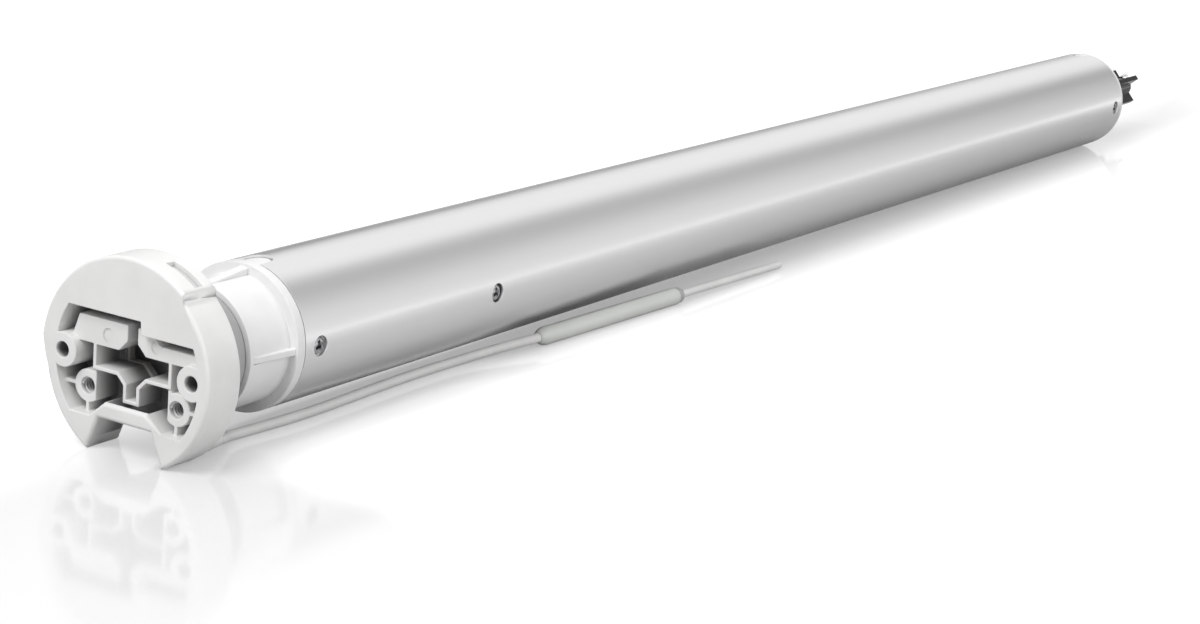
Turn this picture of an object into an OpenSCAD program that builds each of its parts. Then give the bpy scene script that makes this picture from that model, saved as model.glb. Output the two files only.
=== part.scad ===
// Tubular motor for a roller blind: a round mounting head, an idler crown that turns on its neck,
// a metal housing tube with the electronics, motor, brake and planetary gearbox inside,
// and a cross-shaped output shaft. The tube's axis is X, with the head's mounting face at x = 0.

/* [Mounting head] */
// Radius of the round head
head_r = 31; // [29:0.5:36]
// Thickness of the head along the tube's axis
head_t = 15; // [14:0.5:20]
// Thickness of the head's rim
rim_t = 14.4; // [13.5:0.1:14.9]
// Rounding of the head's front edge
head_edge_r = 1.25; // [1:0.25:3]
// Radial width of the rim round the recessed face
rim_w = 4; // [3:0.25:5]
// Depth of the recessed face
recess_d = 13; // [12:0.1:13]
// Top edge of the recess on the far side
recess_top_far = 15; // [14:0.5:16]
// Top edge of the recess on the near side
recess_top_near = 11; // [10:0.5:12]
// Bottom edge of the recess below the axis
recess_bottom = 17; // [16:0.25:18]
// Depth of the flat plates above the socket
plate_d = 2.7; // [2:0.1:4]
// Height of the far plate's top above the axis
plate_top_far = 12; // [11.5:0.1:13]
// Height of the near plate's top above the axis
plate_top_near = 8.2; // [7.5:0.1:9.5]
// Thickness of the thin walls and ribs in the recess
wall_t = 1.2; // [1:0.1:1.6]

/* [Fixing holes] */
// Distance between the two plain fixing holes
fixing_spacing = 48.8; // [46:0.2:49.6]
// How far the plain fixing holes lie above the axis
fixing_rise = 0.6; // [0:0.1:1]
// Radius of the plain fixing holes
fixing_hole_r = 2.4; // [2:0.1:2.6]
// Outer radius of the plain bosses
fixing_boss_r = 5.3; // [4.5:0.1:5.3]
// Distance between the two threaded holes
thread_spacing = 33.8; // [32:0.2:36]
// How far the threaded holes lie below the axis
thread_drop = 9.4; // [8.5:0.1:10]
// Wall radius of the threaded holes
thread_hole_r = 2.6; // [2:0.1:2.7]
// Outer radius of the threaded bosses
thread_boss_r = 5; // [4.2:0.1:5.2]
// How far the threaded bosses stand back from the face
thread_set_back = 3.1; // [2:0.1:4]

/* [Bracket socket] */
// Half width of the socket's cross arm
arm_half = 13.7; // [12.5:0.1:14]
// Top of the cross arm above the axis
arm_top = 3.9; // [3:0.1:5]
// Bottom of the cross arm below the axis
arm_drop = 2.6; // [2:0.1:4]
// Half width of the upright slot
stem_half = 1.9; // [1.5:0.1:2.5]
// Bottom of the upright slot below the axis
stem_drop = 10.4; // [9:0.1:10.7]
// Size of the 45 degree corners of the cross
cross_chamfer = 3.2; // [2:0.1:4]
// Depth of the socket's outer ends
socket_d = 10.4; // [8:0.1:11]
// Half width of the deeper part of the socket
deep_half = 11.2; // [9:0.1:12]

/* [Cable notch] */
// Half width of the notch at its top
notch_half = 10; // [8:0.5:11]
// Height of the notch's top below the axis
notch_drop = 17.2; // [16.8:0.1:19]
// Slope of the notch's sides, sideways per millimetre down
notch_slope = 0.426; // [0.3:0.01:0.5]
// Height of the bar's upper edge below the axis
bar_drop = 12; // [11.9:0.1:14]
// Thickness of the bar in front of its pocket
bar_t = 1.5; // [1:0.1:3]

/* [Raised pad] */
// Radius of the pad on top, measured from the tube's axis
pad_r = 33; // [31.5:0.25:33.5]
// Angle from the top to the pad's end on the button side
pad_near = 37.5; // [36:0.5:40]
// Angle over which the pad's end on the button side runs down to the rim
pad_step = 4; // [3:0.5:10]
// Angle from the top to the pad's end on the far side
pad_far = 80; // [50:1:85]
// Angle over which the pad's end on the far side runs down to the rim
pad_slope = 14; // [10:1:20]

/* [Programming button] */
// Angle of the button's middle from the top towards the antenna side
button_angle = 25; // [15:0.5:25]
// Angle that the button's slot takes up
slot_span = 21; // [18:0.5:21]
// Width of the slot along the axis
slot_w = 3.6; // [3:0.1:4.4]
// Distance of the slot's middle from the mounting face
slot_x = 8.3; // [7:0.1:11]
// How far the button's top lies below the pad
button_sink = 1.4; // [0.5:0.1:1.5]
// Height of the button
button_h = 3.8; // [3:0.1:4.5]
// How far the button travels
button_travel = 0.8; // [0.4:0.1:1]
// Height of the switch under the button
switch_h = 2.6; // [2:0.1:4]

/* [Neck and crown] */
// Radius of the neck that carries the crown
neck_r = 18.3; // [17.5:0.1:19]
// Radius of the neck's bore
neck_bore_r = 16; // [15:0.1:16.6]
// Radius of the neck's shoulder behind the head
shoulder_r = 18.8; // [18.7:0.1:20.2]
// Distance from the mounting face to the crown
crown_x = 31.7; // [26:0.1:34]
// Length of the crown
crown_len = 22.2; // [18:0.1:26]
// Outer radius of the crown's sleeve
crown_r = 20.4; // [20:0.1:21.5]
// Width of the crown's end ring
ring_w = 3.7; // [3:0.1:5]
// Height of the crown's ribs above the sleeve at the ring
rib_h = 2.2; // [1:0.1:2.6]
// Width of the crown's three narrow ribs
rib_w = 2.1; // [1.5:0.1:3]
// Width of the crown's broad rib
broad_rib_w = 3.2; // [2.5:0.1:5]

/* [Housing tube] */
// Outer radius of the housing tube
tube_r = 23.5; // [22:0.25:27]
// Wall of the housing tube
tube_wall = 1.2; // [0.8:0.1:1.5]
// Length of the housing tube
tube_len = 675; // [640:1:760]
// Half width of the key and its notch
key_half = 4.1; // [3:0.1:5]
// How far the keys lie below the tube's outside
key_sink = 0.8; // [0.1:0.1:1]
// Straight length of the near key
key_len = 4.5; // [3:0.5:6]
// Straight length of the far key
far_key_len = 7.5; // [5:0.5:9]
// Radius of the holes for the side screws
screw_hole_r = 3.25; // [3.1:0.05:3.6]
// Distance from the tube's near end to the first side screws
screw_1_in = 7.2; // [6.5:0.1:9]
// Distance from the tube's near end to the second side screws
screw_2_in = 103.2; // [95:0.1:110]
// Distance from the tube's far end to the last side screws
screw_3_in = 7.7; // [6.5:0.1:12]
// Thickness of the end cap's rim outside the tube
cap_rim_w = 2.4; // [1.5:0.1:4]

/* [Side screws] */
// Radius of a side screw's shank
screw_r = 1.5; // [1.2:0.1:1.8]
// Radius of a side screw's head
screw_head_r = 2.85; // [2.6:0.05:3]
// Thickness of a side screw's head
screw_head_t = 1.6; // [1.2:0.1:2]
// Length of a side screw under its head
screw_len = 4.6; // [4:0.1:5]

/* [Electronics] */
// Length of the tray that holds the circuit board
tray_len = 197; // [190:1:205]
// Wall of the tray
tray_wall = 1.5; // [1:0.1:2]
// Width of the circuit board
board_w = 34; // [31:0.5:34.5]
// Thickness of the circuit board
board_t = 1.6; // [1.2:0.1:2]
// Radius of the run capacitor
capacitor_r = 17.3; // [15:0.1:18]
// Length of the run capacitor
capacitor_len = 66; // [60:1:68]

/* [Motor] */
// Thickness of the motor's end shields
shield_t = 12; // [10:0.5:14]
// Length of the stator core
stator_len = 80; // [70:1:90]
// Length of a winding's end turns
end_turn_len = 12; // [8:0.5:14]
// Radius of the rotor
rotor_r = 7; // [6:0.1:7.5]
// Air gap between rotor and stator
air_gap = 0.5; // [0.3:0.1:0.8]
// Radius of the rotor shaft
shaft_r = 3; // [2.5:0.1:3.2]
// Outer radius of the motor's bearings
bearing_r = 8; // [7:0.5:9]
// Width of the motor's bearings
bearing_w = 5; // [4:0.5:6]

/* [Brake] */
// Thickness of the brake's fixed plate
brake_plate_t = 4; // [3:0.5:5]
// Thickness of the brake lining
lining_t = 5; // [4:0.5:6]
// Radius of the brake lining
lining_r = 12; // [10:0.5:13]
// Thickness of the brake's armature
armature_t = 4; // [3:0.5:5]
// Travel of the brake's armature
armature_travel = 0.35; // [0.2:0.05:0.6]
// Length of the brake's magnet
magnet_len = 28; // [24:1:32]

/* [Gearbox] */
// Gear module
gear_m = 0.75; // [0.7:0.01:0.76]
// Width of the planet gears
gear_w = 12; // [10:0.5:14]
// Thickness of the planet carriers
carrier_t = 4.5; // [4:0.5:6]
// Radius of the planet pins
pin_r = 1.5; // [1.3:0.1:1.8]
// Thickness of the gearbox cover
cover_t = 8; // [6:0.5:10]

/* [Output] */
// Radius of the output shaft
output_r = 7.5; // [6.5:0.1:8]
// Outer radius of the output bearing
output_bearing_r = 14; // [12:0.5:15]
// Width of the output bearing
output_bearing_w = 8; // [6:0.5:10]
// Distance that the output shaft stands out of the end cap
shaft_out = 61.3; // [45:0.1:70]
// Length of the cross-shaped end
star_len = 36; // [20:0.5:44]
// Radius over the arms of the cross-shaped end
star_r = 9.6; // [8.5:0.1:10.5]
// Thickness of the cross-shaped end's arms
star_arm_t = 2.6; // [2:0.1:4]
// Radius of the cross-shaped end's hub
star_hub_r = 4.7; // [4:0.1:5.5]
// Angle of the first arm from the top towards the antenna side
star_angle = 50; // [0:1:90]

/* [Antenna] */
// Radius of the antenna lead
lead_r = 1.65; // [1.2:0.05:1.8]
// Radius of the antenna's sleeve
sleeve_r = 3.3; // [2.5:0.1:3.4]
// Radius of the antenna's tip
tip_r = 1.5; // [1:0.1:1.6]
// Radius of the antenna gland's collar
gland_r = 2.7; // [2.5:0.05:2.8]
// Length of the antenna's gland outside the head
gland_len = 9.6; // [8.5:0.1:10.4]

/* [Hidden] */
$fn = 96;

// Clearances: a running fit, a fixed fit, and the gap between pieces that don't bear on each other
running = 0.05;
fitted = 0.1;
gap = 0.3;
over = 1;

// Places along the axis
crown_end = crown_x + crown_len;
tube_x = crown_end + gap;
tube_end = tube_x + tube_len;
cap_end = tube_end + cap_rim_w + gap / 3;
bore_r = tube_r - tube_wall;
plug_r = bore_r - fitted;
screw_x = [tube_x + screw_1_in, tube_x + screw_2_in, tube_end - screw_3_in];
adapter_len = 21.5;
neck_end = tube_x + adapter_len - 2;
tray_x = tube_x + adapter_len + 2;
tray_end = tray_x + tray_len;
cradle_x = tray_end + 7;
cradle_len = capacitor_len + 2;

// Places measured back from the far end
cap_len = 39;
gearbox_back = 42;
cap_x = tube_end - cap_len;
cover_x = cap_x - gearbox_back - cover_t;
stage_len = gear_w + carrier_t + 2.5;
ring_wall = 4;
ring_len = ring_wall + 3 * stage_len + 3;
ring_x = cover_x - ring_len;
planet_x = [for (s = [0:2]) ring_x + ring_wall + 2 + s * stage_len];
magnet_x = ring_x - 4 - magnet_len;
armature_x = magnet_x - armature_travel - running - armature_t;
output_bearing_x = screw_x[2] - output_bearing_w / 2 - 2;
clip_x = output_bearing_x + output_bearing_w + gap;
lining_x = armature_x - 0.2 - lining_t;
brake_x = lining_x - 0.2 - brake_plate_t;
front_x = brake_x - 4 - shield_t;
coil_2_x = front_x - 6 - end_turn_len;
stator_x = coil_2_x - stator_len;
coil_1_x = stator_x - end_turn_len;
rear_x = coil_1_x - 4 - shield_t;

// Face of the head
recess_r = head_r - rim_w;
recess_step_y = 5;
plate_slant_y = 7;
plate_end = 20.6;
plate_end_slant = 3;
bar_half = 8;
bar_foot = 13.5;
wall_drop = 12;
back_x = recess_d + 0.3;
core_r = 24.9;
hole_end_x = rim_t - 1.6;
neck_bore_x = head_t + 2;
ejector_mark_r = 2.1;
ejector_mark_d = 0.4;
ejector_mark_y = 9.2;
ejector_mark_z = 7.6;
back_edge_r = 0.8;
pad_fade = 15;
button_top_r = pad_r - button_sink;
switch_foot_r = button_top_r - button_h - button_travel - gap - switch_h;
switch_half = 2;
switch_d = slot_w - 2 * gap;

// Motor and brake
stator_slot_ring_r = 14.5;
stator_slot_r = 3.6;
end_turn_w = 9;
spring_ring_r = 15;
spring_r = 2;
spring_len = 12;
vent_ring_r = 14.5;

// Crown: angle and width of each rib, and the angles of its magnets
crown_ribs = [[-4, broad_rib_w], [90.7, rib_w], [180, rib_w], [270, rib_w]];
magnet_angles = [45:90:315];
magnet_r = 1.2;

// Electronics
board_z = -4.5;
ledge_t = 1.5;
tray_ring_w = 14;
relays_x = tray_x + 0.14 * tray_len;
power_x = tray_x + 0.45 * tray_len;
capacitors_x = [for (k = [0.68, 0.74, 0.8]) tray_x + k * tray_len];
terminal_size = [16, 22, 9];
relay_size = [20, 13, 11];
power_size = [34, 26, 13];
capacitor_size = [5, 14];
radio_len = 22;
radio_w = 18;
can_w = 14;
radio_x = tray_end - 7 - radio_len;
can_inset = 3;
can_h = 2.5;

// Mains inlet and the board behind it
sensor_drop = 9;
inlet_len = 12;
inlet_rim_w = 3;
inlet_x = head_t + 7;
inlet_pin_r = 0.8;
inlet_pin_len = 18;
pins_x = inlet_x - 4;

// Gears
planet_step = 360 / 3;
sun_z = 12;
planet_z = 15;
ring_z = 42;
gear_pa = 25;
thinned = 0.12;
addendum = 0.9 * gear_m;
dedendum = 1.2 * gear_m;
ring_addendum = 0.75 * gear_m;
arm_r = (sun_z + planet_z) * gear_m / 2;
ring_tip_r = ring_z * gear_m / 2 - ring_addendum;
carrier_r = ring_tip_r - 0.65;
pin_gap = 0.1;
tenon_r = 5;

// Circlip
clip_t = 1;
clip_groove = 0.5;
clip_mouth = 3;

// Antenna: middle points of the lead, then the ends of the sleeve and the tip
gland_y = -15.6;
gland_z = -23.2;
gland_stem_r = 2;
gland_stem_len = 5;
gland_grip = 6;
lead_route = [
    [24, -15.6, -23.2], [28, -14.2, -24.1], [33, -11.8, -25.1], [40, -11.2, -25.6],
    [50, -11.9, -25.6], [62, -12.7, -25.5], [76, -13, -25.4], [92, -12.6, -25.3],
    [108, -12, -25.2], [124, -11.7, -25.1], [140, -11.9, -25], [154, -12.5, -24.9],
    [166, -13.9, -24.4], [176, -15.8, -23.8], [186, -17.7, -23.3], [192, -18.6, -23.1]
];
sleeve_a = [192, -18.6, -23.1];
sleeve_b = [283, -22.6, -22.6];
tip_end = [361, -24, -23.4];
sleeve_band_w = 3.5;

// Draws in a frame whose X is the part's Y, whose Y is the part's Z and whose Z is the part's X
module along(x = 0) {
    translate([x, 0, 0]) rotate([90, 0, 90]) children();
}

// Turns a shape drawn at the top by an angle towards the antenna side
module around(angle) {
    rotate([0, 0, angle]) children();
}

module disc(x, r, t) {
    along(x) cylinder(r = r, h = t);
}

module hollow(x, r, hole_r, t) {
    along(x) difference() {
        cylinder(r = r, h = t);
        translate([0, 0, -over]) cylinder(r = hole_r, h = t + 2 * over);
    }
}

// A radial cylinder from one radius to another, at a place along the axis and an angle
module radial(x, angle, r, from, to) {
    along(x) around(angle) translate([0, from, 0]) rotate([-90, 0, 0]) cylinder(r = r, h = to - from);
}

// The socket's cross with a half width of a, grown by g on every side
function cross_points(a, g = 0) =
    let (c = cross_chamfer, t = g * (sqrt(2) - 1), s = stem_half)
    let (right = [
        [s + g, -stem_drop - g], [s + g, -arm_drop - c - t], [s + c + t, -arm_drop - g],
        [a + g, -arm_drop - g], [a + g, arm_top + g], [s + c + t, arm_top + g],
        [s + g, arm_top + c + t], [s + g, plate_top_far + g]
    ])
    concat(right, [for (i = [len(right) - 1:-1:0]) [-right[i][0], right[i][1]]]);

module recess_shape() {
    intersection() {
        circle(r = recess_r);
        polygon([
            [recess_r, recess_top_far], [-recess_step_y, recess_top_far],
            [-recess_step_y - 0.3, recess_top_near], [-recess_r, recess_top_near],
            [-recess_r, -recess_bottom], [-bar_foot, -recess_bottom], [-bar_half, -bar_drop],
            [bar_half, -bar_drop], [bar_foot, -recess_bottom], [recess_r, -recess_bottom]
        ]);
    }
}

module notch_shape() {
    depth = head_r - notch_drop + over;
    foot = notch_half + notch_slope * depth;
    polygon([
        [-notch_half, -notch_drop], [notch_half, -notch_drop],
        [foot, -notch_drop - depth], [-foot, -notch_drop - depth]
    ]);
}

// Plates beside the upright slot, above the cross arm, with grooves left above them
module plates_shape() {
    intersection() {
        circle(r = recess_r + over);
        polygon([
            [plate_end + plate_end_slant, arm_top], [plate_end, plate_top_far],
            [-recess_step_y, plate_top_far],
            [-recess_step_y, recess_top_near + over], [-plate_slant_y, recess_top_near + over],
            [-plate_slant_y - 3, plate_top_near], [-recess_r - over, plate_top_near],
            [-recess_r - over, arm_top]
        ]);
    }
}

// Thin walls at the ends of the cross arm and the funnel below it
module funnel_shape() {
    difference() {
        intersection() {
            polygon(cross_points(arm_half, wall_t));
            translate([-head_r, -bar_drop - over]) square([2 * head_r, bar_drop + over + arm_top]);
        }
        polygon(cross_points(arm_half));
    }
}

// Walls that carry the cross arm's ends on down, and ribs from the threaded bosses to the rim
module head_walls() {
    for (side = [-1, 1]) scale_side(side) {
        translate([arm_half, -wall_drop]) square([wall_t, wall_drop]);
        translate([thread_spacing / 2, -thread_drop - wall_t / 2])
            square([recess_r - thread_spacing / 2, wall_t]);
        translate([thread_spacing / 2 - wall_t / 2, -recess_bottom - over])
            square([wall_t, recess_bottom + over - thread_drop]);
    }
}

// The threaded bosses, flat where they meet the cavities below the socket
module thread_bosses_shape() {
    for (side = [-1, 1]) scale_side(side) intersection() {
        translate([thread_spacing / 2, -thread_drop]) circle(r = thread_boss_r);
        translate([arm_half, -head_r]) square(2 * head_r);
    }
}

// Mirrors a shape to the negative side where side is -1
module scale_side(side) {
    mirror([side < 0 ? 1 : 0, 0]) children();
}

// The button's slot, bent round the rim, from the switch out past the rim
module button_slot() {
    along(slot_x - slot_w / 2) rotate([0, 0, 90 + button_angle - slot_span / 2])
        rotate_extrude(angle = slot_span)
            translate([switch_foot_r, 0]) square([pad_r - switch_foot_r + over, slot_w]);
}

// The raised pad on top, which the button's slot lies in, with a sloping end on each side
module pad_shape() {
    function at(angle, r) = [-r * sin(angle), r * cos(angle)];
    flat_r = head_r - head_edge_r;
    polygon([
        [0, 0], at(pad_near + pad_step + pad_fade, flat_r), at(pad_near + pad_step, head_r),
        at(pad_near, pad_r), at(pad_near, 2 * pad_r), at(0, 2 * pad_r), at(-pad_far, 2 * pad_r),
        at(-pad_far, pad_r), at(-pad_far - pad_slope, head_r),
        at(-pad_far - pad_slope - pad_fade, flat_r)
    ]);
}

// A disc as thick as the rim, with rounded edges
module rim_disc(r) {
    along(0) rotate_extrude() {
        square([r - head_edge_r, rim_t]);
        translate([0, head_edge_r]) square([r - back_edge_r, rim_t - head_edge_r]);
        translate([0, head_edge_r]) square([r, rim_t - head_edge_r - back_edge_r]);
        edge_round(r, head_edge_r, head_edge_r);
        edge_round(r, back_edge_r, rim_t - back_edge_r);
    }
}

module head_disc() {
    rim_disc(head_r);
    intersection() {
        rim_disc(pad_r);
        along(-over) linear_extrude(rim_t + 2 * over) pad_shape();
    }
    disc(over, core_r, head_t - over);
}

// A circle of radius r that rounds the edge of a disc of radius outer at a height h
module edge_round(outer, r, h) {
    intersection() {
        translate([outer - r, h]) circle(r = r);
        square([outer, rim_t]);
    }
}

module head_body() {
    color("white") difference() {
        union() {
            difference() {
                head_disc();
                along(-over) linear_extrude(recess_d + over) recess_shape();
                along(bar_t) translate([-bar_half, -notch_drop + wall_t, 0])
                    cube([2 * bar_half, notch_drop - bar_drop, recess_d - bar_t]);
            }
            along(plate_d) linear_extrude(back_x - plate_d) plates_shape();
            along(plate_d) linear_extrude(back_x - plate_d) funnel_shape();
            along(thread_set_back) linear_extrude(back_x - thread_set_back) intersection() {
                circle(r = recess_r + over);
                head_walls();
            }
            along(thread_set_back) linear_extrude(back_x - thread_set_back) thread_bosses_shape();
            for (side = [-1, 1])
                along(0) translate([side * fixing_spacing / 2, fixing_rise, 0])
                    cylinder(r = fixing_boss_r, h = back_x);
            disc(back_x, shoulder_r, crown_x - gap - back_x);
            disc(back_x, neck_r, neck_end - back_x);
        }
        // Socket, cable notch and the neck's bore
        along(-over) linear_extrude(socket_d + over) polygon(cross_points(arm_half));
        along(-over) linear_extrude(neck_bore_x + 2 * over) polygon(cross_points(deep_half));
        along(-over) linear_extrude(head_t + over) notch_shape();
        disc(neck_bore_x, neck_bore_r, neck_end);
        // Ejector marks on the plates
        for (side = [-1, 1])
            along(plate_d - ejector_mark_d) translate([side * ejector_mark_y, ejector_mark_z, 0])
                cylinder(r = ejector_mark_r, h = 2 * ejector_mark_d);
        // Fixing holes
        for (side = [-1, 1]) {
            along(-over) translate([side * fixing_spacing / 2, fixing_rise, 0])
                cylinder(r = fixing_hole_r, h = hole_end_x + over);
            along(-over) translate([side * thread_spacing / 2, -thread_drop, 0])
                cylinder(r = thread_hole_r, h = hole_end_x + over);
        }
        button_slot();
        gland_seat();
        for (angle = [90, 270])
            radial(screw_x[0], angle, screw_r + running, neck_bore_r - over, neck_r + over);
    }
}

// Places a shape drawn along Z on the antenna gland's axis, at a place along the tube's axis
module at_gland(x) {
    translate([x, gland_y, gland_z]) rotate([0, 90, 0]) children();
}

module gland_seat() {
    at_gland(rim_t - gland_stem_len - fitted) cylinder(r = gland_stem_r + fitted, h = head_r);
}

module prog_button() {
    inset = asin(gap / button_top_r);
    color("whitesmoke") along(slot_x - slot_w / 2 + gap)
        rotate([0, 0, 90 + button_angle - slot_span / 2 + inset])
            rotate_extrude(angle = slot_span - 2 * inset)
                translate([button_top_r - button_h, 0]) square([button_h, slot_w - 2 * gap]);
}

module prog_switch() {
    color("dimgray") along(slot_x) around(button_angle)
        translate([-switch_half, switch_foot_r, -switch_d / 2]) cube([2 * switch_half, switch_h, switch_d]);
}

// The pins of the mains inlet, grown by extra
module pin_row(extra) {
    for (y = [-7.5:5:7.5])
        along(pins_x) translate([y, (arm_top - arm_drop) / 2, 0])
            cylinder(r = inlet_pin_r + extra, h = inlet_pin_len);
}

module mains_inlet() {
    color("white") difference() {
        union() {
            disc(inlet_x, neck_bore_r - fitted, inlet_rim_w);
            along(inlet_x) translate([-deep_half, -arm_drop, 0])
                cube([2 * deep_half, arm_drop + arm_top, inlet_len]);
        }
        pin_row(running);
    }
}

module inlet_pins() {
    color("gold") pin_row(0);
}

module sensor_board() {
    x = inlet_x + inlet_len + 1;
    half = sqrt(pow(neck_bore_r, 2) - pow(sensor_drop, 2)) - fitted;
    color("seagreen") translate([x, -half, -sensor_drop]) cube([neck_end - 2 - x, 2 * half, 1.4]);
}

module crown() {
    ring_x0 = crown_end - ring_w;
    rib_start = crown_x + 1.5;
    color("white") difference() {
        union() {
            disc(crown_x, crown_r, crown_len);
            disc(ring_x0, tube_r, ring_w);
            for (rib = crown_ribs)
                rotate([-rib[0], 0, 0]) translate([0, rib[1] / 2, 0]) rotate([90, 0, 0])
                    linear_extrude(rib[1]) polygon([
                        [rib_start, crown_r - 0.5], [ring_x0 + 0.5, crown_r - 0.5],
                        [ring_x0 + 0.5, crown_r + rib_h], [rib_start, crown_r + 0.1]
                    ]);
        }
        disc(crown_x - over, neck_r + running, crown_len + 2 * over);
        for (angle = magnet_angles)
            radial(crown_end - ring_w / 2, angle, magnet_r + running, neck_r - over, crown_r + 1);
    }
}

module crown_magnets() {
    color("gray") for (angle = magnet_angles)
        radial(crown_end - ring_w / 2, angle, magnet_r, neck_r + 0.4, crown_r + 0.9);
}

// A key with a round end, from the tube's end inwards, as an outline in X and Y
module key_shape(half, straight) {
    translate([0, -half]) square([straight, 2 * half]);
    translate([straight, 0]) circle(r = half);
}

module tube_adapter() {
    color("white") difference() {
        union() {
            disc(tube_x, plug_r, adapter_len);
            intersection() {
                disc(tube_x, tube_r - key_sink, adapter_len);
                translate([tube_x, 0, bore_r - 3]) linear_extrude(4) key_shape(key_half, key_len);
            }
        }
        disc(tube_x - over, neck_r + running, adapter_len + 2 * over);
        side_holes(0);
    }
}

// Holes for the two side screws of one set
module side_holes(set) {
    for (angle = [90, 270]) {
        radial(screw_x[set], angle, screw_r + running, plug_r - 8, tube_r);
        radial(screw_x[set], angle, screw_head_r + 0.1, seat_r(), tube_r);
    }
}

// Radius at which the side screws' heads seat
function seat_r() = tube_r - 0.45 - screw_head_t;

module housing_tube() {
    color("silver") difference() {
        hollow(tube_x, tube_r, bore_r, tube_len);
        translate([tube_x - over, 0, 0])
            linear_extrude(tube_r + over) key_shape(key_half + gap, key_len + over);
        translate([tube_end + over, 0, 0]) mirror([1, 0, 0])
            linear_extrude(tube_r + over) key_shape(key_half + gap, far_key_len + over);
        for (x = screw_x) for (angle = [90, 270])
            radial(x, angle, screw_hole_r, bore_r - over, tube_r + over);
    }
}

module tube_screws() {
    color("silver") for (x = screw_x) for (angle = [90, 270]) difference() {
        union() {
            radial(x, angle, screw_r, seat_r() - screw_len, seat_r() + 0.1);
            radial(x, angle, screw_head_r, seat_r() + 0.02, seat_r() + screw_head_t);
        }
        along(x) around(angle) translate([0, seat_r() + 0.7, 0]) rotate([-90, 0, 0])
            cylinder(r = 1.3, h = screw_head_t, $fn = 6);
    }
}

module end_cap() {
    color("white") difference() {
        union() {
            disc(cap_x, plug_r, tube_end - cap_x + gap / 3);
            disc(tube_end + gap / 3, tube_r - 0.2, cap_rim_w);
            intersection() {
                disc(cap_x, tube_r - key_sink, tube_end - cap_x + gap / 3);
                translate([tube_end + gap / 3, 0, bore_r - 3]) mirror([1, 0, 0])
                    linear_extrude(4) key_shape(key_half, far_key_len);
            }
        }
        disc(cap_x - over, output_bearing_r - 2, cap_end);
        disc(output_bearing_x - 0.2, output_bearing_r + running, output_bearing_w + 0.4);
        disc(output_bearing_x, output_bearing_r - 2.5, cap_end);
        disc(cap_x - over, output_bearing_r + running, output_bearing_x - cap_x + 2);
        side_holes(2);
    }
}

module antenna_gland() {
    color("gainsboro") difference() {
        union() {
            at_gland(rim_t - gland_stem_len) cylinder(r = gland_stem_r, h = gland_stem_len + 1);
            at_gland(rim_t) cylinder(r = gland_r, h = 1.5);
            at_gland(rim_t + 1.5)
                cylinder(r1 = gland_r - 0.2, r2 = lead_r + 0.3, h = gland_len - 1.5);
        }
        at_gland(rim_t + gland_len - gland_grip) cylinder(r = lead_r + running, h = head_r);
    }
}

// Smoothed points along a route, with the end directions kept
function smooth(p, n) = [
    for (i = [0:len(p) - 2]) for (k = [0:n - 1])
        let (a = p[max(i - 1, 0)], b = p[i], c = p[i + 1], d = p[min(i + 2, len(p) - 1)], t = k / n)
        b + t * (c - a) / 2 + t * t * (a - 2.5 * b + 2 * c - 0.5 * d)
            + t * t * t * (1.5 * b - 1.5 * c + (d - a) / 2),
    p[len(p) - 1]
];

function unit(v) = v / norm(v);

// Faces of a tube with n rings of m points, closed at both ends
function tube_faces(n, m) = concat(
    [[for (j = [m - 1:-1:0]) j]],
    [for (i = [0:n - 2]) for (j = [0:m - 1])
        [i * m + j, i * m + (j + 1) % m, (i + 1) * m + (j + 1) % m, (i + 1) * m + j]],
    [[for (j = [0:m - 1]) (n - 1) * m + j]]
);

module swept(path, r, m = 8) {
    n = len(path);
    points = [for (i = [0:n - 1])
        let (t = unit(path[min(i + 1, n - 1)] - path[max(i - 1, 0)]))
        let (u = unit(cross(t, [0, 0, 1])), w = cross(u, t))
        for (j = [0:m - 1]) path[i] + r * (cos(360 * j / m) * u - sin(360 * j / m) * w)];
    polyhedron(points, tube_faces(n, m), convexity = 4);
}

module antenna_lead() {
    // The lead starts inside the gland, straight, and ends at the sleeve
    start = [rim_t + gland_len - gland_grip + fitted, gland_y, gland_z];
    color("white") swept(concat([start], smooth(lead_route, 2)), lead_r);
}

// Turns an outline in radius and length round a line that starts at a and points to b
module turned(a, b) {
    v = b - a;
    translate(a) rotate([0, acos(v[2] / norm(v)), atan2(v[1], v[0])]) rotate_extrude() children();
}

module antenna_sleeve() {
    len = norm(sleeve_b - sleeve_a);
    color("honeydew") turned(sleeve_a, sleeve_b) polygon([
        [0, 0], [lead_r + 0.4, 0], [sleeve_r - 0.4, 2], [sleeve_r, 4], [sleeve_r, len - sleeve_band_w],
        [sleeve_r - 0.3, len - sleeve_band_w], [sleeve_r - 0.4, len], [0, len]
    ]);
}

module antenna_tip() {
    len = norm(tip_end - sleeve_b);
    color("white") turned(sleeve_b, tip_end) {
        translate([0, running]) square([tip_r, len - running - tip_r]);
        intersection() {
            translate([0, len - tip_r]) circle(r = tip_r);
            translate([0, len - tip_r]) square(tip_r);
        }
    }
}

module electronics_tray() {
    inner_r = plug_r - tray_wall;
    ledge_y = board_w / 2 - 2;
    ledge_w = sqrt(pow(inner_r, 2) - pow(board_z - ledge_t, 2)) - ledge_y + 0.2;
    color("dimgray") {
        difference() {
            hollow(tray_x, plug_r, inner_r, tray_len);
            translate([tray_x - over, -tube_r, board_z + board_t + 2])
                cube([tray_len + 2 * over, 2 * tube_r, 2 * tube_r]);
            side_holes(1);
        }
        for (y = [ledge_y, -ledge_y - ledge_w])
            translate([tray_x, y, board_z - ledge_t]) cube([tray_len, ledge_w, ledge_t]);
        // The ring that the second pair of side screws holds
        difference() {
            hollow(screw_x[1] - tray_ring_w / 2, plug_r, board_w / 2 + 1, tray_ring_w);
            side_holes(1);
        }
    }
}

module main_board() {
    color("seagreen") translate([tray_x + 2, -board_w / 2, board_z]) cube([tray_len - 6, board_w, board_t]);
}

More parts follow.
